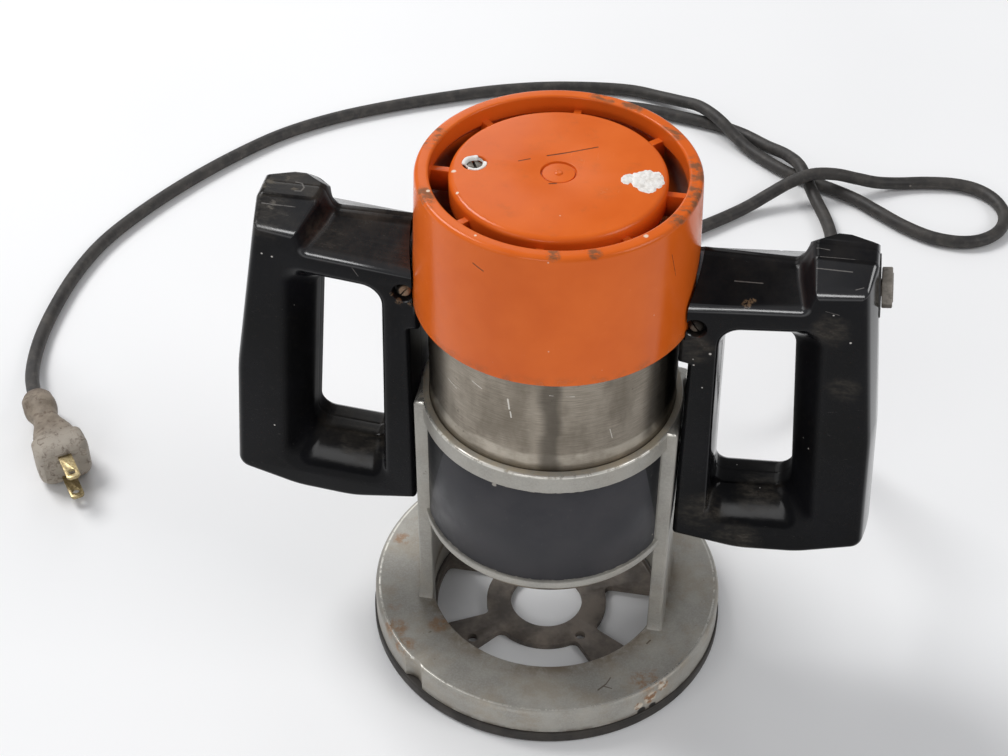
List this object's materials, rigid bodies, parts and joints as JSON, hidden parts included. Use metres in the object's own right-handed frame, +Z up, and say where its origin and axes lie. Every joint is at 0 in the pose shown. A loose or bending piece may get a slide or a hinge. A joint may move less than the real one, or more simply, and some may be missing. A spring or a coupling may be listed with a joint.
{
  "type": "electric router",
  "caption": "Electric router: spoked round base with two pillars and a split collar, a motor unit that slides in it, vented cap, two D-handles, switch in one handle, and a mains cord.",
  "frame": {"origin": "centre of the sub-base, on the surface that the router stands on", "axes": "+Z up along the motor shaft, +X towards the handle with the switch, -Y towards the label band at the front"},
  "size_m": [0.499, 0.4912, 0.2372],
  "materials": {
    "sub_base": "black, dulled by dust",
    "screws": "dull zinc plate",
    "casting": "grey paint with bare worn edges and brown dirt",
    "label": "bare black band",
    "can": "bare metal with a wear band",
    "housing": "as cast",
    "bearing_steel": "ground",
    "lamination": "stacked sheet, oiled",
    "winding_wire": "varnished copper wire",
    "dark_plastic": "moulded",
    "holder_brass": "dull",
    "carbon": "pressed carbon",
    "cap": "orange, glossy, dirty in the edges",
    "handle": "black, semi-gloss, scratched and dusty",
    "button": "light grey",
    "cord_jacket": "dark grey",
    "shaft_steel": "turned and ground",
    "copper": "turned copper",
    "nut_steel": "blackened",
    "plug": "light grey, dirty",
    "blades": "dull"
  },
  "bodies": {
    "base": {"base_casting": "casting", "sub_base": "sub_base", "sub_base_screws": "screws", "label_plate": "label", "clamp_bolt": "screws", "cord": "cord_jacket", "plug_body": "plug", "plug_blades": "blades"},
    "clamp_nut": {"wing_nut": "screws"},
    "motor_unit": {"motor_can": "can", "bearing_plate": "housing", "lower_bearing": "bearing_steel", "field_core": "lamination", "field_coils": "winding_wire", "fan_baffle": "dark_plastic", "end_housing": "housing", "upper_bearing": "bearing_steel", "brush_holders": "holder_brass", "brushes": "carbon", "brush_springs": "bearing_steel", "through_bolts": "screws", "top_cap": "cap", "cap_screws": "screws", "left_handle_front": "handle", "left_handle_rear": "handle", "right_handle_front": "handle", "right_handle_rear": "handle", "handle_screws": "screws", "switch_body": "dark_plastic", "motor_leads": "cord_jacket", "strain_relief": "cord_jacket"},
    "switch": {"switch_button": "button"},
    "armature": {"armature_shaft": "shaft_steel", "armature_core": "lamination", "armature_windings": "winding_wire", "commutator": "copper", "fan": "housing", "collet": "shaft_steel"},
    "nut": {"collet_nut": "nut_steel"}
  },
  "joints": [
    {"name": "depth_slide", "type": "slide", "parent": "base", "child": "motor_unit", "axis": [0, 0, 1], "range_m": [-0.034, 0]},
    {"name": "clamp_nut_turn", "type": "hinge", "parent": "base", "child": "clamp_nut", "pos_m": [0, 0.06768, 0.1006], "axis": [1, 0, 0], "range_deg": [0, 360]},
    {"name": "switch_slide", "type": "slide", "parent": "motor_unit", "child": "switch", "axis": [-0.1253, 0, 0.9921], "range_m": [0, 0.004]},
    {"name": "shaft_spin", "type": "hinge", "parent": "motor_unit", "child": "armature", "pos_m": [0, 0, 0.12], "axis": [0, 0, 1], "continuous": true},
    {"name": "collet_nut_turn", "type": "hinge", "parent": "armature", "child": "nut", "pos_m": [0, 0, 0.049], "axis": [0, 0, 1], "range_deg": [0, 540]}
  ]
}
